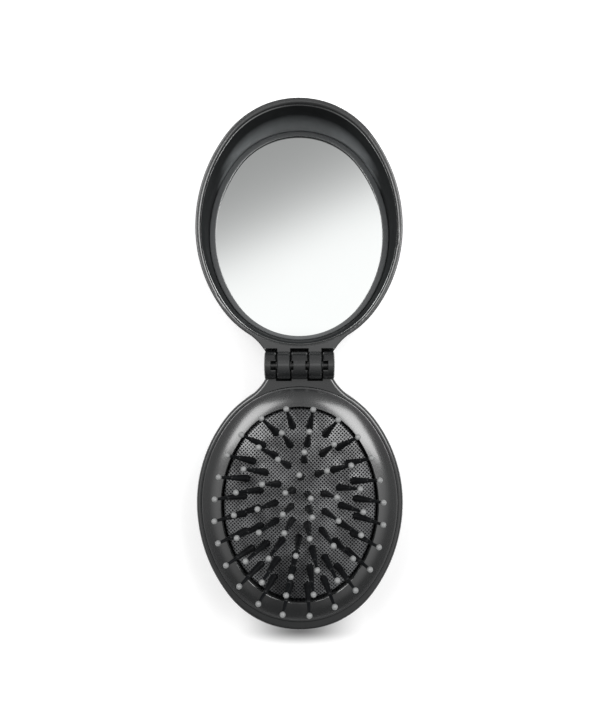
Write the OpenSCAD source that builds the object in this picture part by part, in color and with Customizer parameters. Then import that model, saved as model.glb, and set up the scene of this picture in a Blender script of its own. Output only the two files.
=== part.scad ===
// Folding pocket hairbrush with a mirror in its lid, lying open on its two flat backs.
// X runs across the case, +Y runs from the brush half to the lid, +Z points out of the bristles.
// The origin is on the brush half's flat back, on the line where the half is widest.
// Every half is drawn with its hinge end toward +Y; in_lid() turns that drawing over into the lid.

/* [Case] */
// Width of the case across its widest line
case_w = 68; // [64:1:74]
// Length from the widest line to the end away from the hinge
case_far = 42.2; // [40:0.2:46]
// Length from the widest line to the end beside the hinge
case_near = 39.9; // [38:0.1:40.4]
// Depth of one half, from its flat back to its rim
half_depth = 21.5; // [20.5:0.5:25]
// Wall of a half at its flat back
floor_t = 1.8; // [1.2:0.1:2]
// Radius that rounds the back into the side walls
back_round = 5.5; // [4:0.5:6]
// Radius along the outer edge of the brush half's rim
base_edge = 1.2; // [0.6:0.1:1.3]
// Radius along the outer edge of the lid's rim
lid_edge = 0.5; // [0.3:0.1:0.7]
// Radius between the brush half's inner wall and its floor
well_round = 2; // [1:0.1:2.2]
// Gap between the two rims when the case is shut
rim_gap = 0.3; // [0.2:0.1:0.6]

/* [Hinge] */
// Distance from the widest line to the hinge axis
hinge_y = 45.3; // [45:0.1:46]
// Width of the neck and of the whole knuckle row
neck_w = 22.6; // [21.6:0.1:26]
// Depth of the neck below the rim
neck_depth = 10; // [8:0.5:14]
// Radius of the wide fillets between neck and case
neck_fillet = 17; // [14:0.5:22]
// Distance from the hinge axis to the start of those fillets
neck_land = 4.4; // [4:0.1:5]
// Step in from the side of the knuckle row to the start of those fillets
neck_step = 0.1; // [0.05:0.05:0.4]
// Radius of the knuckles
knuckle_r = 4.55; // [4:0.05:4.7]
// Clear radius cut into the brush half round the lid's knuckles
base_room_r = 5.15; // [5:0.05:5.5]
// Clear radius cut into the lid round the brush half's knuckles
lid_room_r = 5.6; // [5.1:0.05:5.8]
// Length of each outer knuckle, which belongs to the brush half
ear_w = 3.6; // [3.2:0.05:4]
// Length of each lid knuckle
lid_knuckle_w = 4.15; // [3.6:0.05:4.5]
// Side gap between neighbouring knuckles
knuckle_gap = 0.5; // [0.4:0.05:0.8]
// Chamfer on the knuckle ends
knuckle_chamfer = 0.3; // [0.1:0.05:0.5]
// Radius of the snap-in trunnions on the lid knuckles
trunnion_r = 1.65; // [1.4:0.05:2]
// Radial running clearance of a trunnion in its bore
trunnion_play = 0.05; // [0.02:0.01:0.1]
// Depth of the bores in the outer knuckles
ear_bore = 1.6; // [1.2:0.05:2.2]
// Depth of the bores in the centre knuckle
centre_bore = 0.65; // [0.4:0.05:1]
// End play of a trunnion in its bore
trunnion_end_play = 0.1; // [0.05:0.05:0.2]
// Width of the snap throat that opens each bore to the front
throat_w = 3; // [2.4:0.1:3.1]
// Width of the wider mouth in front of the throat
mouth_w = 3.7; // [3.4:0.1:4.2]
// Depth of that mouth below the knuckle's front
mouth_depth = 1.2; // [0.8:0.1:1.6]
// Gap between the two stop faces below the knuckles, when open flat
stop_gap = 0.1; // [0.05:0.05:0.3]

/* [Lid and mirror] */
// Width of the lid's rim along the sides
lid_rim_side = 1.9; // [1.75:0.05:2.2]
// Width of the lid's rim at the far end
lid_rim_far = 2.15; // [1.9:0.05:3]
// Width of the lid's rim at the hinge end
lid_rim_near = 1.65; // [1.6:0.05:2]
// Radius along the inner edge of the lid's rim
dish_edge = 1; // [0.4:0.1:1]
// Draft of the dish wall, from rim to floor
dish_draft = 0.15; // [0:0.05:0.3]
// Radius between the dish wall and its floor
dish_round = 9; // [7:0.5:10]
// Gap from the dish wall to the bezel along the sides
bezel_gap_side = 0.25; // [0.15:0.05:0.4]
// Gap from the dish wall to the bezel at the far end
bezel_gap_far = 2.95; // [2:0.05:3.5]
// Gap from the dish wall to the bezel at the hinge end
bezel_gap_near = 1.35; // [0.8:0.05:2]
// Clearance round the bezel in its pocket in the floor of the dish
bezel_play = 0.1; // [0.05:0.05:0.1]
// Width of the bezel along the sides
bezel_w_side = 2.3; // [2:0.1:3]
// Width of the bezel at the far end
bezel_w_far = 1.6; // [1.5:0.05:3]
// Width of the bezel at the hinge end
bezel_w_near = 1.55; // [1.5:0.05:3]
// Height of the bezel's lip above the mirror
bezel_lip = 0.5; // [0.4:0.1:1.2]
// Radius along the outer edge of the bezel
bezel_edge = 0.45; // [0.2:0.05:0.6]
// Radius along the inner edge of the bezel's lip
lip_edge = 0.25; // [0.1:0.05:0.35]
// Overlap of the bezel's lip over the mirror's edge
bezel_cover = 0.9; // [0.6:0.1:1]
// Clearance round the mirror's edge inside the bezel
mirror_play = 0.1; // [0.05:0.05:0.2]
// Thickness of the mirror glass
mirror_t = 1.3; // [1:0.1:1.8]
// Thickness of the adhesive foam behind the mirror
foam_t = 0.55; // [0.4:0.05:1]
// How far the foam stays back from the mirror's edge
foam_inset = 2.5; // [2.3:0.1:5]

/* [Cushion ring] */
// Width of the brush half's rim along the sides
base_rim_side = 1.65; // [1.5:0.05:2.2]
// Width of the brush half's rim at the far end
base_rim_far = 2.95; // [2:0.05:3.5]
// Width of the brush half's rim at the hinge end
base_rim_near = 1.5; // [1.4:0.05:2]
// Clearance between the ring and the rim that it sits in
ring_play = 0.1; // [0.05:0.05:0.2]
// Width of the ring along the sides
ring_w_side = 6.85; // [5.5:0.05:7.5]
// Width of the ring at the far end
ring_w_far = 7.5; // [5.5:0.05:7.8]
// Width of the ring at the hinge end
ring_w_near = 6.5; // [5.5:0.05:7.8]
// Height of the ring's crown above the rim
ring_crown = 2.9; // [2.6:0.1:3.4]
// Radius of the ring's crowned top
ring_crown_r = 13; // [12:0.5:16]
// Distance of the crown's highest line inside the ring's outer edge
ring_crown_in = 8.5; // [8.2:0.1:9]
// Radius along the edge of the ring's opening
opening_edge = 0.6; // [0.3:0.1:0.8]
// Width of the low bead along the ring's outer edge
bead_w = 0.55; // [0.45:0.05:0.8]
// Height of that bead above the rim
bead_rise = 0.25; // [0.2:0.05:0.4]
// Radius along the bead's outer edge
bead_edge = 0.35; // [0.2:0.05:0.4]
// Depth of the ring's seat below the rim
ring_seat = 5; // [4:0.5:6]
// Width of the seat that carries the ring's skirt
seat_w = 1.3; // [1:0.1:1.6]
// Wall of the ring, skirt and inner wall alike
ring_wall = 1.3; // [1:0.1:1.6]

/* [Cushion] */
// Gap between the cushion and the ring's opening
cushion_gap = 0.45; // [0.3:0.05:0.7]
// Height of the cushion's apex above the hinge axis
cushion_apex = 4.8; // [3:0.1:5.2]
// Radius of the cushion's dome across the case
dome_r_across = 80; // [70:1:100]
// Radius of the cushion's dome along the case
dome_r_along = 125; // [105:1:150]
// Distance of the dome's centre from the widest line, toward the far end
dome_shift = 0.25; // [0:0.05:2]
// Thickness of the cushion's clamped flange
flange_t = 1.4; // [1:0.1:2]
// Width of the cushion's clamped flange
flange_w = 1.3; // [0.8:0.1:1.6]
// Thickness of the plate under the cushion
plate_t = 2; // [1.5:0.1:3]
// How far the plate reaches past the flange
plate_over = 1.4; // [1:0.1:1.6]
// Bore of the plate's air vent
vent_d = 3; // [2:0.2:5]
// Thickness of the wall that carries the plate
rib_t = 1.6; // [1.2:0.1:2]
// How far that wall stands back from the plate's edge
rib_inset = 0.6; // [0.2:0.1:1.5]

/* [Bristles] */
// Number of bristles in each ring, from the middle outward
bristle_counts = [8, 12, 18, 24];
// Distance from the cushion's edge to the outer ring of roots, at the sides and at the ends
root_margin = [6.25, 4.95];
// Steps from one ring of roots to the next one inside it, at the sides
root_step_side = [5.1, 5.4, 5.3];
// Steps from one ring of roots to the next one inside it, at the ends
root_step_end = [5.7, 5.2, 5.6];
// Angle of the first bristle of each ring, in steps of that ring
ring_phase = [-0.1, -0.25, -0.43, 0.42];
// Length of a bristle above the cushion, to the middle of its tip
bristle_l = 11.6; // [9:0.1:12]
// Radius of a bristle at the cushion
bristle_root_r = 0.85; // [0.6:0.05:1]
// Radius of a bristle under its tip
bristle_tip_r = 0.45; // [0.35:0.05:0.55]
// Depth that a bristle is moulded into the cushion
bristle_root = 2.2; // [1.5:0.1:3]
// Radius of the ball tips
ball_r = 0.92; // [0.7:0.02:1]
// Lean of the outermost bristles at the sides
lean_side = 42; // [20:1:44]
// Lean of the outermost bristles at the two ends
lean_end = 32; // [20:1:38]
// Distance from the middle of the case to the line whose bristles stand upright
fan_shift = 1.3; // [0:0.1:2]

/* [Hidden] */
$fn = 96;
// Segments of the cushion's wide arcs
dome_fn = 360;
// Farther than any profile reaches
reach = 100;
// Overlap that makes a cut pass right through a surface
pass = 0.5;
// Tiny overlap that makes two round faces cross instead of only touching
bite = 0.04;
// Overlap of the end arc's piece with the side arc's piece in one oval
lap = 0.4;

// Heights
axis_z = half_depth + rim_gap/2;
neck_z = half_depth - neck_depth;
foam_z = floor_t;
mirror_z = foam_z + foam_t;
mirror_face_z = mirror_z + mirror_t;
bezel_top_z = mirror_face_z + bezel_lip;
seat_z = half_depth - ring_seat;
flange_z = seat_z - flange_t;
plate_z = flange_z - plate_t;
crown_z = half_depth + ring_crown;
bead_z = half_depth + bead_rise;
apex_z = axis_z + cushion_apex;

// Knuckle row, from the outside inward
ear_in = neck_w/2 - ear_w;
lid_knuckle_out = ear_in - knuckle_gap;
lid_knuckle_in = lid_knuckle_out - lid_knuckle_w;
centre_half = lid_knuckle_in - knuckle_gap;
bore_r = trunnion_r + trunnion_play;

// Fillets of the neck: each starts beside the knuckle row and runs out on the round end of the case
end_arc_y = 1.5*(case_near - case_w/2);
end_arc_r = case_near - end_arc_y;
fillet_start = [neck_w/2 - neck_step, hinge_y - neck_land];
fillet_span = end_arc_r + neck_fillet - bite;
fillet_reach = norm([fillet_start[0], fillet_start[1] - end_arc_y]);
fillet_turn = acos(
    (pow(fillet_reach, 2) + pow(fillet_span, 2) - pow(neck_fillet, 2))/(2*fillet_reach*fillet_span));
fillet_angle = atan2(fillet_start[1] - end_arc_y, fillet_start[0]) - fillet_turn;

// Ovals, each as [half width, length to the far end, length to the hinge end]
case_oval = [case_w/2, case_far, case_near];
dish_oval = inset(case_oval, lid_rim_side, lid_rim_far, lid_rim_near);
foot_oval = grown(dish_oval, -dish_draft);
bezel_oval = inset(foot_oval, bezel_gap_side, bezel_gap_far, bezel_gap_near);
view_oval = inset(bezel_oval, bezel_w_side, bezel_w_far, bezel_w_near);
mirror_oval = grown(view_oval, bezel_cover);
foam_oval = grown(mirror_oval, -foam_inset);
pocket_oval = inset(case_oval, base_rim_side, base_rim_far, base_rim_near);
ring_oval = grown(pocket_oval, -ring_play);
opening_oval = inset(ring_oval, ring_w_side, ring_w_far, ring_w_near);
cushion_oval = grown(opening_oval, -cushion_gap);
flange_oval = grown(cushion_oval, flange_w + cushion_gap);
plate_oval = grown(flange_oval, plate_over);
rib_oval = grown(plate_oval, -rib_inset);
well_oval = grown(pocket_oval, -seat_w);

// Half widths and half lengths of the rings of bristle roots, from the middle outward
ring_half_w = rings_in(cushion_oval[0] - root_margin[0], root_step_side);
ring_half_l = rings_in((cushion_oval[1] + cushion_oval[2])/2 - root_margin[1], root_step_end);

function inset(oval, side, far, near) = [oval[0] - side, oval[1] - far, oval[2] - near];
function grown(oval, by) = [oval[0] + by, oval[1] + by, oval[2] + by];
function rings_in(outer, step) =
    [outer - step[0] - step[1] - step[2], outer - step[0] - step[1], outer - step[0], outer];

// Height of the cushion's dome at a point, its bristle angles and its bristles' lean
function dome_z(x, y) =
    let (turn_r = dome_r_along - dome_r_across + sqrt(pow(dome_r_across, 2) - x*x))
    apex_z - dome_r_along + sqrt(turn_r*turn_r - y*y);
function ring_angle(ring, i) =
    let (even = 90 + 360*(i + ring_phase[ring])/bristle_counts[ring])
    let (slimness = (ring_half_l[ring] - ring_half_w[ring])/(ring_half_l[ring] + ring_half_w[ring]))
    even - 90/PI*slimness*sin(2*even);
function lean_x(x) = tan(lean_side)*(x - fan_shift)/ring_half_w[len(ring_half_w) - 1];
function lean_y(y) = tan(lean_end)*y/ring_half_l[len(ring_half_l) - 1];

// One quarter of an oval sweep, from the widest line (y = 0) to the end of the oval (x = 0).
// The side arc and the end arc meet on a 3-4-5 ray, where both share one tangent. The end arc's
// piece starts a lap before that ray, where it lies inside the side arc's piece.
// x = 0 of the 2-D profile lies on the oval, and its height becomes Z.
module oval_quarter(half_w, half_l) {
    longer = half_l - half_w;
    side_x = 2*longer;
    end_y = 1.5*longer;
    far_y = end_y + 0.75*reach;
    intersection() {
        translate([-side_x, 0, 0]) turned(half_w + side_x) children();
        linear_extrude(reach) polygon([[0, 0], [reach, 0], [reach, far_y], [0, end_y]]);
    }
    intersection() {
        translate([0, end_y, 0]) turned(half_l - end_y) children();
        linear_extrude(reach) polygon([[0, end_y - lap], [reach, far_y - lap], [0, 2*reach]]);
    }
}

module turned(radius) {
    rotate_extrude()
        intersection() {
            translate([radius, 0]) children();
            square([2*reach, reach]);
        }
}

// Carries a 2-D profile round a whole oval
module oval_sweep(oval) {
    for (side = [0, 1])
        mirror([side, 0, 0]) {
            oval_quarter(oval[0], oval[2]) children();
            mirror([0, 1, 0]) oval_quarter(oval[0], oval[1]) children();
        }
}

// Upright oval block between two heights
module oval_block(oval, from_z, to_z) {
    oval_sweep(oval)
        translate([-reach, from_z]) square([reach, to_z - from_z]);
}

// Turns a half over into the lid's place across the hinge
module in_lid() {
    translate([0, 2*hinge_y, 0])
        mirror([0, 1, 0]) children();
}

// Square profile from a floor up, with its outer top corner rounded
module topped(from_z, to_z, edge) {
    union() {
        translate([-reach, from_z]) square([reach, to_z - edge - from_z]);
        translate([-reach, from_z]) square([reach - edge, to_z - from_z]);
        translate([-edge, to_z - edge]) circle(edge);
    }
}

// Cut profile of an upright wall whose top corner is rounded outward
module opened(from_z, to_z, edge) {
    union() {
        translate([-reach, from_z]) square([reach, to_z + pass - from_z]);
        difference() {
            translate([-pass, to_z - edge]) square([edge + pass, edge + pass]);
            translate([edge, to_z - edge]) circle(edge);
        }
    }
}

// Outer form of one half: a flat back, a round into the walls and a rounded rim
module half_body(edge) {
    oval_sweep(case_oval)
        union() {
            topped(back_round, half_depth, edge);
            translate([-reach, 0]) square([reach - back_round, half_depth - edge]);
            translate([-back_round, back_round]) circle(back_round);
        }
}

// The neck runs from the round end of the case to the hinge line, with two wide fillets beside it
module neck(edge) {
    toward = [cos(fillet_angle), sin(fillet_angle)];
    inner = end_arc_r - pass;
    outer = (fillet_start[1] - end_arc_y)/toward[1];
    half_w = neck_w/2;
    difference() {
        translate([0, 0, neck_z])
            linear_extrude(neck_depth)
                polygon([
                    [0, end_arc_y],
                    [inner*toward[0], end_arc_y + inner*toward[1]], [outer*toward[0], fillet_start[1]],
                    [half_w, fillet_start[1]], [half_w, hinge_y - stop_gap/2],
                    [-half_w, hinge_y - stop_gap/2], [-half_w, fillet_start[1]],
                    [-outer*toward[0], fillet_start[1]], [-inner*toward[0], end_arc_y + inner*toward[1]],
                ]);
        for (side = [0, 1])
            mirror([side, 0, 0])
                intersection() {
                    translate([fillet_span*toward[0], end_arc_y + fillet_span*toward[1], 0])
                        rotate_extrude()
                            intersection() {
                                translate([neck_fillet, 0]) opened(neck_z - pass, half_depth, edge);
                                square([reach, reach]);
                            }
                    translate([0, fillet_start[1] - reach, 0]) cube(reach);
                }
    }
}

// Round bar along the hinge axis from one x to another
module hinge_bar(radius, from_x, to_x) {
    translate([from_x, hinge_y, axis_z])
        rotate([0, 90, 0]) cylinder(h = to_x - from_x, r = radius);
}

// One knuckle with chamfered ends
module knuckle(from_x, to_x) {
    w = to_x - from_x;
    translate([from_x, hinge_y, axis_z])
        rotate([0, 90, 0])
            rotate_extrude()
                polygon([
                    [0, 0], [knuckle_r - knuckle_chamfer, 0], [knuckle_r, knuckle_chamfer],
                    [knuckle_r, w - knuckle_chamfer], [knuckle_r - knuckle_chamfer, w], [0, w],
                ]);
}

// Blind bore with its snap throat and wider mouth, open to the front
module snap_socket(from_x, to_x) {
    hinge_bar(bore_r, from_x, to_x);
    translate([from_x, hinge_y - throat_w/2, axis_z])
        cube([to_x - from_x, throat_w, knuckle_r + pass]);
    translate([from_x, hinge_y - mouth_w/2, axis_z + knuckle_r - mouth_depth])
        cube([to_x - from_x, mouth_w, mouth_depth + pass]);
}

module base_shell() {
    color([0.30, 0.31, 0.32])
        difference() {
            union() {
                difference() {
                    union() {
                        half_body(base_edge);
                        neck(base_edge);
                    }
                    oval_block(pocket_oval, seat_z, half_depth + pass);
                    oval_sweep(well_oval) {
                        union() {
                            translate([-reach, floor_t + well_round])
                                square([reach, half_depth - floor_t - well_round]);
                            translate([-reach, floor_t]) square([reach - well_round, half_depth - floor_t]);
                            translate([-well_round, floor_t + well_round]) circle(well_round);
                        }
                    }
                    for (side = [0, 1])
                        mirror([side, 0, 0]) hinge_bar(base_room_r, centre_half, ear_in);
                }
                difference() {
                    oval_block(rib_oval, floor_t - pass, plate_z);
                    oval_block(grown(rib_oval, -rib_t), 0, plate_z + pass);
                }
                knuckle(-centre_half, centre_half);
                for (side = [0, 1])
                    mirror([side, 0, 0]) knuckle(ear_in, neck_w/2);
            }
            for (side = [0, 1])
                mirror([side, 0, 0]) {
                    snap_socket(ear_in - pass/2, ear_in + ear_bore);
                    snap_socket(centre_half - centre_bore, centre_half + pass/2);
                }
        }
}

module cushion_ring() {
    lip_in = ring_crown_in - max(ring_w_side, ring_w_far, ring_w_near) + opening_edge;
    lip_z = crown_z - ring_crown_r + sqrt(pow(ring_crown_r, 2) - pow(lip_in, 2));
    color([0.28, 0.29, 0.30])
        difference() {
            oval_sweep(ring_oval)
                union() {
                    intersection() {
                        translate([-ring_crown_in, seat_z])
                            square([ring_crown_in - bead_w, crown_z - seat_z]);
                        translate([-ring_crown_in, crown_z - ring_crown_r]) circle(ring_crown_r);
                    }
                    intersection() {
                        translate([-2*bead_w, seat_z]) square([2*bead_w, crown_z - seat_z]);
                        topped(seat_z, bead_z, bead_edge);
                    }
                }
            oval_sweep(opening_oval) opened(0, lip_z + bite, opening_edge);
            difference() {
                oval_sweep(ring_oval)
                    intersection() {
                        translate([-ring_crown_in, 0]) square([ring_crown_in - ring_wall, crown_z]);
                        translate([-ring_crown_in, crown_z - ring_crown_r]) circle(ring_crown_r - ring_wall);
                    }
                oval_block(flange_oval, 0, crown_z);
            }
        }
}

// The dome is a round arc across the case, turned about an axis that lies across the case too
module cushion_dome() {
    translate([0, -dome_shift, apex_z - dome_r_along])
        rotate([0, 90, 0])
            rotate([0, 0, 180 - 45])
                rotate_extrude(angle = 90, $fn = dome_fn)
                    intersection() {
                        translate([dome_r_along - dome_r_across, 0]) circle(dome_r_across, $fn = dome_fn);
                        translate([dome_r_along/2, -dome_r_across]) square([dome_r_along, 2*dome_r_across]);
                    }
}

module cushion() {
    color([0.16, 0.16, 0.17])
        union() {
            intersection() {
                oval_block(cushion_oval, flange_z, apex_z + pass);
                cushion_dome();
            }
            oval_block(flange_oval, flange_z, seat_z);
        }
}

module cushion_plate() {
    color([0.24, 0.24, 0.25])
        difference() {
            oval_block(plate_oval, plate_z, flange_z);
            translate([0, 0, plate_z - pass]) cylinder(h = plate_t + 2*pass, d = vent_d);
        }
}

// Puts a child on every root of a ring, with +Z along the leaning bristle
module at_roots(ring) {
    for (i = [0 : bristle_counts[ring] - 1]) {
        t = ring_angle(ring, i);
        x = ring_half_w[ring]*cos(t);
        y = ring_half_l[ring]*sin(t);
        dx = lean_x(x);
        dy = lean_y(y);
        translate([x, y - dome_shift, dome_z(x, y)])
            rotate([0, atan(norm([dx, dy])), atan2(dy, dx)]) children();
    }
}

// The ball has a flat of the bristle's own width, so that the two meet face to face
module bristle_ring(ring) {
    flat = sqrt(ball_r*ball_r - bristle_tip_r*bristle_tip_r);
    color([0.09, 0.09, 0.10])
        at_roots(ring)
            translate([0, 0, -bristle_root]) {
                cylinder(h = bristle_root, r = bristle_root_r);
                translate([0, 0, bristle_root])
                    cylinder(h = bristle_l - flat, r1 = bristle_root_r, r2 = bristle_tip_r);
            }
}

module ball_ring(ring) {
    flat = sqrt(ball_r*ball_r - bristle_tip_r*bristle_tip_r);
    color([0.72, 0.73, 0.73])
        at_roots(ring)
            translate([0, 0, bristle_l])
                intersection() {
                    sphere(ball_r);
                    translate([-ball_r, -ball_r, -flat]) cube(2*ball_r);
                }
}

module lid_shell() {
    color([0.33, 0.34, 0.35])
        in_lid() {
            difference() {
                union() {
                    half_body(lid_edge);
                    neck(lid_edge);
                }
                oval_sweep(dish_oval)
                    union() {
                        polygon([
                            [-reach, floor_t + dish_round], [-dish_draft, floor_t + dish_round],
                            [0, half_depth - dish_edge], [0, half_depth], [-reach, half_depth],
                        ]);
                        opened(half_depth - dish_edge, half_depth, dish_edge);
                        translate([-reach, floor_t])
                            square([reach - dish_draft - dish_round, dish_round + pass]);
                        translate([-dish_draft - dish_round, floor_t + dish_round]) circle(dish_round);
                    }
                oval_block(grown(bezel_oval, bezel_play), floor_t, floor_t + dish_round);
                hinge_bar(lid_room_r, -lid_knuckle_in, lid_knuckle_in);
                for (side = [0, 1])
                    mirror([side, 0, 0]) hinge_bar(lid_room_r, lid_knuckle_out, neck_w/2 + pass);
            }
            for (side = [0, 1])
                mirror([side, 0, 0]) {
                    knuckle(lid_knuckle_in, lid_knuckle_out);
                    hinge_bar(trunnion_r, centre_half - centre_bore + trunnion_end_play,
                        ear_in + ear_bore - trunnion_end_play);
                }
        }
}

module mirror_bezel() {
    color([0.36, 0.37, 0.38])
        in_lid()
            difference() {
                oval_sweep(bezel_oval) topped(floor_t, bezel_top_z, bezel_edge);
                oval_block(grown(mirror_oval, mirror_play), 0, mirror_face_z);
                oval_sweep(view_oval) opened(0, bezel_top_z, lip_edge);
            }
}

module mirror_glass() {
    color([0.85, 0.87, 0.88])
        in_lid() oval_block(mirror_oval, mirror_z, mirror_face_z);
}

module mirror_foam() {
    color([0.20, 0.20, 0.20])
        in_lid() oval_block(foam_oval, foam_z, mirror_z);
}

base_shell();
cushion_ring();
cushion();
cushion_plate();
bristle_ring(0);  // bristles_ring_1
bristle_ring(1);  // bristles_ring_2
bristle_ring(2);  // bristles_ring_3
bristle_ring(3);  // bristles_ring_4
ball_ring(0);  // ball_tips_ring_1
ball_ring(1);  // ball_tips_ring_2
ball_ring(2);  // ball_tips_ring_3
ball_ring(3);  // ball_tips_ring_4
lid_shell();
mirror_bezel();
mirror_glass();
mirror_foam();
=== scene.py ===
"""Looks of the folding hairbrush with mirror, dressed over its CAD model.

Lengths are in metres, and those of the cushion in millimetres, as in the CAD source."""

import math

import bmesh
import bpy
from mathutils import Matrix, Vector


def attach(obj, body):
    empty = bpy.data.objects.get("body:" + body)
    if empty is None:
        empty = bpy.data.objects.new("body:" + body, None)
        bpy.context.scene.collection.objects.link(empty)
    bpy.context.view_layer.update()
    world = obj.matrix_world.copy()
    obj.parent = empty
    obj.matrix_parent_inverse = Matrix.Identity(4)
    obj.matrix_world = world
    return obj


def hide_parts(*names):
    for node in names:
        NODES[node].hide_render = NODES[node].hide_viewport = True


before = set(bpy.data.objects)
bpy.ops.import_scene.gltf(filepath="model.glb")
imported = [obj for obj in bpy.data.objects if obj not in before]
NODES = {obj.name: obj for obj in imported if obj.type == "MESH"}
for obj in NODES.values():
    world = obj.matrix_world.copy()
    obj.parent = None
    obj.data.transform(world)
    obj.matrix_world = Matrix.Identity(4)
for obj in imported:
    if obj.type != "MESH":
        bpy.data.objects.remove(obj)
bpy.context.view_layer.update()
MM = 0.001

# The lid's dish. A pair is the two values between which a mask fades.
DISH_Y = 0.0906  # its middle
DISH_INWARD = (-0.001, -0.003)  # how far from the middle a place lies, along the way it faces
DISH_STEEP = (0.35, 0.75)  # how much the wall faces up
DISH_FAR = (-0.55, -0.35)  # how much the far wall faces back to the hinge
DISH_BRIM_Z = (0.0196, 0.0202)  # the heights where the matt ends
DISH_SIDE_RISE = 0.0014  # how much higher that is on the sides
DISH_PAINTED_LIGHT_Z = (0.0045, 0.0125)  # the heights over which the painted light at the far wall's foot fades

# Sizes that the cushion shares with the CAD model, in millimetres.
# An oval is its half width, its reach to the far end and its reach to the hinge's end.
APEX_Z = 26.45
DOME_ACROSS = 80
DOME_ALONG = 125
DOME_SHIFT = 0.25
CUSHION_OVAL = (24.95, 31.2, 31.35)
FLANGE_OVAL = (26.7, 32.95, 33.1)
SEAT_Z = 16.5
FLANGE_Z = 15.1
BRISTLE_COUNTS = (8, 12, 18, 24)
RING_HALF_W = (2.9, 8.2, 13.6, 18.7)
RING_HALF_L = (9.825, 15.425, 20.625, 26.325)
RING_PHASE = (-0.1, -0.25, -0.43, 0.42)
LEAN_SIDE = math.radians(42)
LEAN_END = math.radians(32)
FAN_SHIFT = 1.3

# Sizes of the soft detail, in millimetres
COLLAR_STEPS = ((1.5, -0.6), (1.24, 0.1), (1.14, 0.6), (1.0, 2.8),
                (0.86, 4.8), (0.74, 6.4), (0.66, 6.8), (0.5, 6.85))  # radius and height
EDGE_ROLL = 0.45
PUCKER_RISE, PUCKER_SPREAD = 0.34, 2.2
PUCKER_DIP, DIP_SPREAD = 0.22, 0.8
FLANGE_GAP = 0.01
ROW_CROWDING = 0.25  # how much closer the rows of the mesh are toward the edge
NET_PITCH = 0.86
NET_WANDER = 0.3
NET_WEAVE = 0.12  # the share by which a thread rises and dips


# ---------------------------------------------------------------- camera
SENSOR = 36
TILT = math.radians(0.7)  # the eye stands this much toward the lid's end
TURN = math.radians(-0.17)
DISTANCE = 0.220
AIM = (0.0002, 0.04606, 0.02165)
VIEW_HEIGHT = 0.2377  # what the picture's height takes in at the rims

camera = bpy.data.cameras.new("camera")
camera.sensor_width = SENSOR
camera.lens = SENSOR * DISTANCE / VIEW_HEIGHT
camera.clip_start = 0.01
camera.clip_end = 20
eye = bpy.data.objects.new("camera", camera)
eye.location = (AIM[0], AIM[1] + DISTANCE * math.sin(TILT), AIM[2] + DISTANCE * math.cos(TILT))
eye.rotation_euler = (-TILT, 0, TURN)
bpy.context.scene.collection.objects.link(eye)
bpy.context.scene.camera = eye


# ---------------------------------------------------------------- nodes
USUAL_NOISE = (0.3, 0.7)  # the values that most of a noise lies between


class Nodes:
    """Short ways to fill a node tree."""

    def __init__(self, tree):
        self.tree = tree
        tree.nodes.clear()

    def add(self, kind):
        return self.tree.nodes.new("ShaderNode" + kind)

    def link(self, a, b):
        self.tree.links.new(a, b)

    def math(self, how, a, b=None, c=None):
        node = self.add("Math")
        node.operation = how
        for socket, value in zip(node.inputs, (a, b, c)):
            if isinstance(value, (int, float)):
                socket.default_value = value
            elif value is not None:
                self.link(value, socket)
        return node.outputs[0]

    def distance(self, a, b):
        return self.math("SQRT", self.math("MULTIPLY_ADD", a, a, self.math("MULTIPLY", b, b)))

    def split(self, vector):
        node = self.add("SeparateXYZ")
        self.link(vector, node.inputs[0])
        return node.outputs

    def spread(self, value, low, high, to_low=0.0, to_high=1.0, smooth=False):
        """The value's stretch from low to high, mapped to to_low and to_high and held beyond them."""
        node = self.add("MapRange")
        if smooth:
            node.interpolation_type = "SMOOTHSTEP"
        ends = zip(("From Min", "From Max", "To Min", "To Max"), (low, high, to_low, to_high))
        for key, number in ends:
            node.inputs[key].default_value = number
        self.link(value, node.inputs["Value"])
        return node.outputs[0]

    def ramp(self, value, *stops):
        node = self.add("ValToRGB")
        band = node.color_ramp.elements
        while len(band) < len(stops):
            band.new(0.5)
        for element, (at, colour) in zip(band, stops):
            element.position = at
            element.color = (*colour, 1)
        self.link(value, node.inputs[0])
        return node.outputs[0]

    def for_camera(self, others, camera_sees):
        """One shader for the camera's own rays, and another for all other rays."""
        node = self.add("MixShader")
        self.link(self.add("LightPath").outputs["Is Camera Ray"], node.inputs[0])
        self.link(others, node.inputs[1])
        self.link(camera_sees, node.inputs[2])
        return node.outputs[0]


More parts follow.
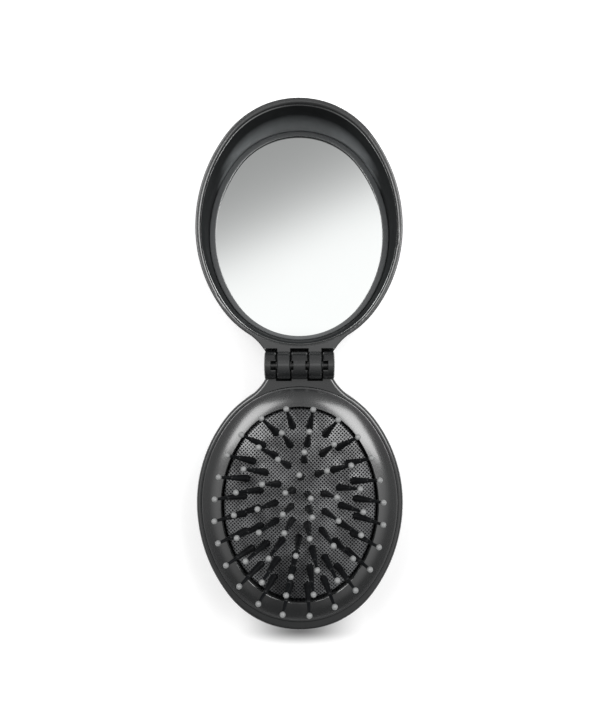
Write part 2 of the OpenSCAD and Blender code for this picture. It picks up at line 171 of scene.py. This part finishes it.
class Look(Nodes):
    """A node material with one Principled shader."""

    def __init__(self, name, **sockets):
        self.material = bpy.data.materials.new(name)
        self.material.use_nodes = True
        super().__init__(self.material.node_tree)
        self.bsdf = self.add("BsdfPrincipled")
        self.link(self.bsdf.outputs[0], self.add("OutputMaterial").inputs[0])
        coordinates = self.add("TexCoord").outputs
        self.place, self.facing = coordinates["Object"], coordinates["Normal"]
        for key, value in sockets.items():
            self.bsdf.inputs[key.replace("_", " ")].default_value = value

    def mapped(self, **settings):
        node = self.add("Mapping")
        for key, value in settings.items():
            node.inputs[key].default_value = value
        self.link(self.place, node.inputs[0])
        return node.outputs[0]

    def noise(self, scale, detail=3.0, rough=0.5, stretch=None):
        node = self.add("TexNoise")
        node.inputs["Scale"].default_value = scale
        node.inputs["Detail"].default_value = detail
        node.inputs["Roughness"].default_value = rough
        self.link(self.mapped(Scale=stretch) if stretch else self.place, node.inputs["Vector"])
        return node.outputs[0]

    def vary(self, noise, low, high):
        """A noise as a number that varies from low to high."""
        return self.spread(noise, *USUAL_NOISE, low, high)

    def mottle(self, noise, dark, bright):
        """A noise as a colour that varies from dark to bright."""
        return self.ramp(noise, (USUAL_NOISE[0], dark), (USUAL_NOISE[1], bright))

    def bump(self, height, distance, strength=1.0, under=None):
        node = self.add("Bump")
        node.inputs["Strength"].default_value = strength
        node.inputs["Distance"].default_value = distance
        self.link(height, node.inputs["Height"])
        if under:
            self.link(under, node.inputs["Normal"])
        return node.outputs[0]

    def set(self, **links):
        """Links outputs to the shader's sockets, and gives the material."""
        for key, value in links.items():
            self.link(value, self.bsdf.inputs[key.replace("_", " ")])
        return self.material


# ---------------------------------------------------------------- materials
def tone(colour, by):
    return tuple(c * by for c in colour)


def moulded(name, colour, rough, lacquer=1.0, dish=False):
    """Satin lacquered plastic: fine grain, faint flow marks and handled patches.

    The lid's dish has matt walls, and painted light makes the foot of the far one paler."""
    look = Look(name, IOR=1.6, Coat_IOR=1.6)
    grains = look.noise(3800, 2, 0.6)
    patches = look.noise(45, 4, 0.55)
    flow = look.noise(160, 3, 0.5, stretch=(1, 0.25, 1))
    shine = look.math("ADD", look.vary(patches, rough - 0.03, rough + 0.03),
                      look.vary(grains, -0.012, 0.012))
    coat = look.vary(patches, lacquer - 0.04, lacquer + 0.04)
    shade = look.math("MULTIPLY_ADD", flow, 0.4, look.math("MULTIPLY", patches, 0.6))
    if dish:
        matt, painted_light_foot = inside_dish(look)
        glossy = look.math("SUBTRACT", 1.0, matt)
        shine = look.math("MULTIPLY_ADD", matt, 0.4, shine)
        coat = look.math("MULTIPLY", coat, glossy)
        # painted light: the foot of the far wall is made much paler, as if lit from overhead
        shade = look.math("MULTIPLY_ADD", painted_light_foot, 1.5, look.math("MULTIPLY_ADD", matt, 0.5, shade))
        look.set(Specular_IOR_Level=look.math("MULTIPLY", glossy, 0.5))
    # The stops are for dark and bright patches, the matt wall and the painted light at its foot
    return look.set(
        Base_Color=look.ramp(
            look.math("MULTIPLY", shade, 0.4),
            (0.12, tone(colour, 0.9)),
            (0.28, tone(colour, 1.1)),
            (0.44, tone(colour, 2.1)),
            # painted light at the far wall's foot
            (0.95, tone(colour, 13.5)),
        ),
        Roughness=shine,
        Coat_Weight=coat,
        Coat_Roughness=look.math("SUBTRACT", shine, 0.04),
        Normal=look.bump(grains, 0.000002, 0.5, look.bump(flow, 0.00002, 0.2)),
    )


def inside_dish(look):
    """Masks of the dish's steep wall, below its brim, and of the painted light on that wall's foot at the
    far end.
    """
    x, y, z = look.split(look.place)
    face_x, face_y, face_z = look.split(look.facing)
    from_middle = look.math("SUBTRACT", y, DISH_Y)
    outward = look.math("MULTIPLY_ADD", x, face_x, look.math("MULTIPLY", from_middle, face_y))
    wall = look.spread(outward, *DISH_INWARD)
    steep = look.spread(face_z, *DISH_STEEP, 1, 0)
    height = look.math("MULTIPLY_ADD", look.math("POWER", face_x, 6.0), -DISH_SIDE_RISE, z)
    below = look.spread(height, *DISH_BRIM_Z, 1, 0)
    # painted light: the low part of the far wall is marked to be coloured paler
    far = look.spread(face_y, *DISH_FAR, 1, 0)
    low = look.spread(z, *DISH_PAINTED_LIGHT_Z, 1, 0)
    matt = look.math("MULTIPLY", look.math("MULTIPLY", wall, steep), below)
    return matt, look.math("MULTIPLY", look.math("MULTIPLY", wall, far), low)


def woven():
    """A net of crossed glossy threads over black rubber. The threads run at 45 degrees."""
    look = Look("woven_rubber", IOR=1.5, Coat_Roughness=0.2)
    across, along, _ = look.split(look.mapped(Rotation=(0, 0, math.radians(45))))
    wander = NET_WANDER * MM
    drift = look.math("MULTIPLY_ADD", look.noise(160, 2, 0.5), wander, -wander / 2)
    turns = math.pi / (NET_PITCH * MM)
    a = look.math("MULTIPLY", look.math("ADD", across, drift), turns)
    b = look.math("MULTIPLY", look.math("SUBTRACT", along, drift), turns)
    over = look.math("MULTIPLY", look.math("SINE", a), look.math("SINE", b))
    round_a, round_b = (look.math("ABSOLUTE", look.math("COSINE", v)) for v in (a, b))
    upper = look.math("MULTIPLY", round_a, look.math("MULTIPLY_ADD", over, NET_WEAVE, 1 - NET_WEAVE))
    lower = look.math("MULTIPLY", round_b, look.math("MULTIPLY_ADD", over, -NET_WEAVE, 1 - NET_WEAVE))
    cloth = look.math("MAXIMUM", upper, lower)
    shade = look.math("MULTIPLY", cloth, look.vary(look.noise(90, 3, 0.5), 0.85, 1.1))
    return look.set(
        Base_Color=look.ramp(
            shade,
            (0.55, (0.004, 0.004, 0.005)),
            (0.75, (0.036, 0.037, 0.039)),
            (0.92, (0.156, 0.160, 0.165)),
        ),
        Roughness=look.spread(shade, 0.4, 1, 0.6, 0.3),
        Coat_Weight=look.spread(shade, 0.55, 0.85),
        Specular_IOR_Level=look.spread(shade, 0.6, 0.85, 0.1, 0.6),
        Normal=look.bump(cloth, 0.0002),
    )


def rubber():
    """The bristles' collars."""
    look = Look("black_rubber", IOR=1.5, Specular_IOR_Level=0.3)
    cloud = look.noise(400, 3, 0.5)
    return look.set(
        Base_Color=look.mottle(cloud, (0.004, 0.004, 0.005), (0.007, 0.008, 0.009)),
        Roughness=look.vary(cloud, 0.4, 0.5),
        Normal=look.bump(cloud, 0.00002, 0.3),
    )


def nylon():
    """The bristles, with marks drawn along them."""
    look = Look("black_nylon", IOR=1.5, Specular_IOR_Level=0.35)
    drawn = look.noise(900, 2, 0.5, stretch=(1, 1, 0.2))
    patches = look.noise(120, 2, 0.5)
    return look.set(
        Base_Color=look.mottle(patches, (0.004, 0.0045, 0.0055), (0.007, 0.008, 0.009)),
        Roughness=look.vary(drawn, 0.3, 0.42),
        Normal=look.bump(drawn, 0.00002, 0.3),
    )


def tip():
    """The bristles' pale dipped ends."""
    look = Look("tip_lacquer", IOR=1.5, Specular_IOR_Level=0.4)
    cloud = look.noise(700, 3, 0.5)
    return look.set(
        Base_Color=look.mottle(cloud, (0.24, 0.245, 0.245), (0.30, 0.305, 0.305)),
        Roughness=look.vary(cloud, 0.3, 0.42),
        Normal=look.bump(cloud, 0.00003, 0.3),
    )


def silvered():
    """Float glass with its silvering: almost flat, with a breath of haze."""
    look = Look("silvered_glass", Metallic=1.0)
    float_wave = look.noise(14, 2, 0.4)
    haze = look.noise(60, 4, 0.6)
    return look.set(
        Base_Color=look.ramp(haze, (0.2, (0.965, 0.985, 0.978)), (0.8, (0.98, 1.0, 0.993))),
        Roughness=look.spread(haze, 0.2, 0.8, 0.012, 0.03),
        Normal=look.bump(float_wave, 0.000004, 0.4),
    )


def foam():
    """The cells of the adhesive pad behind the mirror."""
    look = Look("adhesive_foam")
    cells = look.add("TexVoronoi")
    cells.inputs["Scale"].default_value = 2500
    look.link(look.place, cells.inputs["Vector"])
    cell = cells.outputs[0]
    return look.set(
        Base_Color=look.ramp(cell, (0.0, (0.02, 0.02, 0.02)), (0.6, (0.06, 0.06, 0.06))),
        Roughness=look.spread(cell, 0, 0.6, 0.95, 0.8),
        Normal=look.bump(cell, 0.0001, 0.7),
    )


ANTHRACITE = (0.018, 0.019, 0.0195)
looks = {
    "base_shell": moulded("satin_anthracite_base", tone(ANTHRACITE, 0.72), rough=0.24, lacquer=0.5),
    "lid_shell": moulded("satin_anthracite_lid", ANTHRACITE, rough=0.24, lacquer=0.75, dish=True),
    "cushion_ring": moulded("satin_anthracite_ring", tone(ANTHRACITE, 0.8), rough=0.24),
    "mirror_bezel": moulded("satin_anthracite_bezel", tone(ANTHRACITE, 5.2), rough=0.26, lacquer=0.6),
    "cushion_plate": moulded("plain_black_plastic", (0.02, 0.02, 0.021), rough=0.5),
    "mirror_glass": silvered(),
    "mirror_foam": foam(),
}
black, pale = nylon(), tip()
for k in range(1, len(BRISTLE_COUNTS) + 1):
    looks[f"bristles_ring_{k}"] = black
    looks[f"ball_tips_ring_{k}"] = pale
for name, look in looks.items():
    NODES[name].data.materials.clear()
    NODES[name].data.materials.append(look)


# ---------------------------------------------------------------- cushion
def oval_radius(oval, angle):
    """Distance from the oval's centre to its edge, in a direction. +Y is the hinge end.

    A side arc and an end arc meet on a 3-4-5 ray, as in the CAD source."""
    c, s = abs(math.cos(angle)), math.sin(angle)
    half_w, far, near = oval
    longer = (near if s >= 0 else far) - half_w
    s = abs(s)
    side_x, end_y = 2 * longer, 1.5 * longer
    side_r, end_r = half_w + side_x, half_w + longer - end_y
    r = -side_x * c + math.sqrt((side_x * c) ** 2 - side_x**2 + side_r**2)
    if r * s > end_y + 0.75 * r * c:
        r = end_y * s + math.sqrt((end_y * s) ** 2 - end_y**2 + end_r**2)
    return r


def oval_loop(oval, z, around):
    """Points round an oval at one height."""
    turns = (2 * math.pi * i / around for i in range(around))
    return [(oval_radius(oval, a) * math.cos(a), oval_radius(oval, a) * math.sin(a), z) for a in turns]


def dome(x, y):
    """Height of the cushion's crown."""
    turn = DOME_ALONG - DOME_ACROSS + math.sqrt(DOME_ACROSS**2 - x * x)
    return APEX_Z - DOME_ALONG + math.sqrt(turn * turn - (y + DOME_SHIFT) ** 2)


def bristle_roots():
    """Where each bristle stands on the dome, as x, y and the two slopes of its lean."""
    for count, half_w, half_l, phase in zip(BRISTLE_COUNTS, RING_HALF_W, RING_HALF_L, RING_PHASE):
        for i in range(count):
            even = math.radians(90 + 360 * (i + phase) / count)
            t = even - (half_l - half_w) / (half_l + half_w) / 2 * math.sin(2 * even)
            x, y = half_w * math.cos(t), half_l * math.sin(t)
            yield (x, y - DOME_SHIFT, math.tan(LEAN_SIDE) * (x - FAN_SHIFT) / RING_HALF_W[-1],
                   math.tan(LEAN_END) * y / RING_HALF_L[-1])


def smooth_data(name, mesh):
    """The finished mesh as Blender's data, shaded smooth."""
    data = bpy.data.meshes.new(name)
    mesh.to_mesh(data)
    mesh.free()
    for face in data.polygons:
        face.use_smooth = True
    return data


def soft_piece(name, data, material):
    piece = bpy.data.objects.new(name, data)
    bpy.context.scene.collection.objects.link(piece)
    piece.data.materials.append(material)
    return piece


def collars(around=20):
    """The sleeves of black rubber that the bristles come out of."""
    mesh = bmesh.new()
    circle = [(math.cos(2 * math.pi * i / around), math.sin(2 * math.pi * i / around))
              for i in range(around)]
    for x, y, lean_x, lean_y in bristle_roots():
        lean = Vector((lean_x, lean_y, 1)).to_track_quat("Z", "Y").to_matrix().to_4x4()
        place = Matrix.Translation(Vector((x, y, dome(x, y)))) @ lean
        loops = [[mesh.verts.new((place @ Vector((r * c, r * s, z))) * MM) for c, s in circle]
                 for r, z in COLLAR_STEPS]
        for a, b in zip(loops, loops[1:]):
            for i in range(around):
                k = (i + 1) % around
                mesh.faces.new((a[i], a[k], b[k], b[i]))
        mesh.faces.new(loops[-1])
        mesh.faces.new(loops[0][::-1])
    return smooth_data("collars", mesh)


def cushion_height(x, y, inside, roots):
    """The dome, rolled over near its edge and raised with a dip at every pin."""
    z = dome(x, y)
    if inside < EDGE_ROLL:
        z -= EDGE_ROLL - math.sqrt(max(0.0, EDGE_ROLL**2 - (EDGE_ROLL - inside) ** 2))
    near = min((x - u) ** 2 + (y - v) ** 2 for u, v in roots)
    return z + PUCKER_RISE * math.exp(-near / PUCKER_SPREAD) - PUCKER_DIP * math.exp(-near / DIP_SPREAD)


def cushion_mesh(around=300, rings=76):
    """A crowned closed pad with its flange under the ring."""
    roots = [root[:2] for root in bristle_roots()]
    rows = []
    for j in range(1, rings + 1):
        f = j / rings
        f = f * (1 + ROW_CROWDING - ROW_CROWDING * f)
        row = []
        for i in range(around):
            angle = 2 * math.pi * i / around
            edge = oval_radius(CUSHION_OVAL, angle)
            x, y = f * edge * math.cos(angle), f * edge * math.sin(angle)
            row.append((x, y, cushion_height(x, y, edge * (1 - f), roots)))
        rows.append(row)
    rows.append(oval_loop(CUSHION_OVAL, SEAT_Z, around))
    rows.append(oval_loop(FLANGE_OVAL, SEAT_Z - FLANGE_GAP, around))
    rows.append(oval_loop(FLANGE_OVAL, FLANGE_Z + FLANGE_GAP, around))
    mesh = bmesh.new()
    loops = [[mesh.verts.new(Vector(p) * MM) for p in row] for row in rows]
    top = mesh.verts.new(Vector((0, 0, dome(0, 0))) * MM)
    bottom = mesh.verts.new(Vector((0, 0, FLANGE_Z + FLANGE_GAP)) * MM)
    for i in range(around):
        k = (i + 1) % around
        mesh.faces.new((top, loops[0][i], loops[0][k]))
        mesh.faces.new((bottom, loops[-1][k], loops[-1][i]))
        for a, b in zip(loops, loops[1:]):
            mesh.faces.new((a[i], b[i], b[k], a[k]))
    return smooth_data("cushion_pad", mesh)


cushion = soft_piece("cushion_pad", cushion_mesh(), woven())
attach(cushion, "brush_half")
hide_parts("cushion")

sleeves = soft_piece("bristle_collars", collars(), rubber())
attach(sleeves, "brush_half")
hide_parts("cushion")


# ---------------------------------------------------------------- stage and light
LIT_POINT = (0, 0.045, 0.015)

# The world, by direction. A slope is how much a direction leans from upright, and a pair is the
# two values between which something fades.
LEAST_UP = 0.05
# The overhead card: white straight up, and grey past CARD_SLOPE toward the lid's end
CARD_Z = (0.80, 0.93)
CARD_EDGE = (-0.06, 0.045)
CARD_SKEW = -0.46
CARD_SLOPE = 0.206
CARD_FADE = 6.5
CARD_GREY = 0.30
# The dim room round the card, and the bright halo on both sides of it
ROOM_Y = (-0.8, -0.1)
ROOM_GREYS = (0.10, 0.32)
HALO_X = -0.07
HALO_ASIDE = (0.12, 0.5)
HALO_Z = (0.5, 0.9)
HALO_WHITE = 0.85

FLOOR_HALF = 1.6
FLOOR_Z = -0.00005
FLOOR_WHITE = 0.8
# The painted shadow at the brush's far end, a soft dark patch. Its middle is where the camera sees the
# end of the rim against the floor; it reaches a little outward from there, and further in toward the
# brush.
PAINTED_SHADOW_Y = -0.0509
PAINTED_SHADOW_HALF_W = 0.025
PAINTED_SHADOW_OUT = 0.0062
PAINTED_SHADOW_UNDER = 0.03
PAINTED_SHADOW_DARK = 0.24
# The floor's glow for the camera, near the painted shadow and away from it
GLOW_REACH = (0.03, 0.08)
GLOW_STRENGTH = (0.33, 0.5)


def lamp(name, toward, along, size, radiance, distance=0.7):
    """A softbox in the direction `toward` from the object, its long side as near as can be to `along`."""
    data = bpy.data.lights.new(name, "AREA")
    data.shape = "RECTANGLE"
    data.size, data.size_y = size
    data.energy = radiance * math.pi * size[0] * size[1]
    obj = bpy.data.objects.new(name, data)
    back = Vector(toward).normalized()
    side = Vector(along).cross(back).normalized()
    obj.matrix_world = (Matrix.Translation(Vector(LIT_POINT) + back * distance)
                        @ Matrix((side, back.cross(side), back)).transposed().to_4x4())
    bpy.context.scene.collection.objects.link(obj)


def sweep_material():
    """White paper that glows a little for the camera, with a painted shadow at the far end."""
    material = bpy.data.materials.new("white_sweep")
    material.use_nodes = True
    nodes = Nodes(material.node_tree)
    x, y, _ = nodes.split(nodes.add("TexCoord").outputs["Object"])
    past = nodes.math("ADD", y, -PAINTED_SHADOW_Y)
    along = nodes.math("MAXIMUM", nodes.math("DIVIDE", past, PAINTED_SHADOW_UNDER),
                       nodes.math("DIVIDE", past, -PAINTED_SHADOW_OUT))
    across = nodes.math("DIVIDE", x, PAINTED_SHADOW_HALF_W)
    clear = nodes.spread(nodes.distance(across, along), 0, 1, smooth=True)
    paper = nodes.add("BsdfDiffuse")
    # painted shadow: the paper's colour darkens toward the middle of the patch
    nodes.link(nodes.ramp(clear, (0.0, (PAINTED_SHADOW_DARK,) * 3), (1.0, (FLOOR_WHITE,) * 3)), paper.inputs[0])
    glow = nodes.add("Emission")
    strength = nodes.spread(nodes.distance(x, past), *GLOW_REACH, *GLOW_STRENGTH)
    # the glow fades out inside the painted shadow
    nodes.link(nodes.math("MULTIPLY", strength, clear), glow.inputs[1])
    both = nodes.add("AddShader")
    nodes.link(glow.outputs[0], both.inputs[0])
    nodes.link(paper.outputs[0], both.inputs[1])
    seen = nodes.for_camera(paper.outputs[0], both.outputs[0])
    nodes.link(seen, nodes.add("OutputMaterial").inputs[0])
    return material


def build_floor():
    data = bpy.data.meshes.new("floor")
    corners = ((-1, -1), (1, -1), (1, 1), (-1, 1))
    data.from_pydata([(FLOOR_HALF * x, FLOOR_HALF * y, FLOOR_Z) for x, y in corners], [], [(0, 1, 2, 3)])
    data.materials.append(sweep_material())
    floor = bpy.data.objects.new("floor", data)
    bpy.context.scene.collection.objects.link(floor)


def build_world():
    """Dim studio round a card overhead, which is white straight up and greyer toward the lid's end."""
    world = bpy.data.worlds.new("studio")
    bpy.context.scene.world = world
    world.use_nodes = True
    sky = Nodes(world.node_tree)
    x, y, z = sky.split(sky.add("TexCoord").outputs["Generated"])
    up = sky.math("MAXIMUM", z, LEAST_UP)
    slope = sky.math("DIVIDE", sky.math("MULTIPLY_ADD", x, CARD_SKEW, y), up)
    faded = sky.math("POWER", sky.math("DIVIDE", sky.math("MAXIMUM", slope, 0.0), CARD_SLOPE), CARD_FADE)
    card = sky.math("ADD", sky.math("DIVIDE", 1 - CARD_GREY, sky.math("ADD", faded, 1.0)), CARD_GREY)
    overhead = sky.spread(z, *CARD_Z, smooth=True)
    inside = sky.spread(sky.math("DIVIDE", y, up), *CARD_EDGE, smooth=True)
    room = sky.spread(y, *ROOM_Y, *ROOM_GREYS)
    aside = sky.spread(sky.math("ABSOLUTE", sky.math("SUBTRACT", x, HALO_X)), *HALO_ASIDE)
    around = sky.math("MULTIPLY_ADD", aside, sky.spread(z, *HALO_Z, 0, HALO_WHITE), room)
    covered = sky.math("MULTIPLY", overhead, inside)
    brightness = sky.math("MULTIPLY_ADD", covered, sky.math("SUBTRACT", card, around), around)
    light, white = sky.add("Background"), sky.add("Background")
    sky.link(brightness, light.inputs["Color"])
    white.inputs["Color"].default_value = (1, 1, 1, 1)
    sky.link(sky.for_camera(light.outputs[0], white.outputs[0]), sky.add("OutputWorld").inputs[0])


lamp("softbox_left", toward=(-0.475, 0.345, 0.81), along=(0.12, 0.52, 0),
     size=(0.31, 0.44), radiance=4.8)
lamp("softbox_right", toward=(0.525, 0.305, 0.79), along=(-0.06, 0.62, 0),
     size=(0.36, 0.44), radiance=5.2)
build_floor()
build_world()
bpy.context.scene.view_settings.view_transform = "Standard"
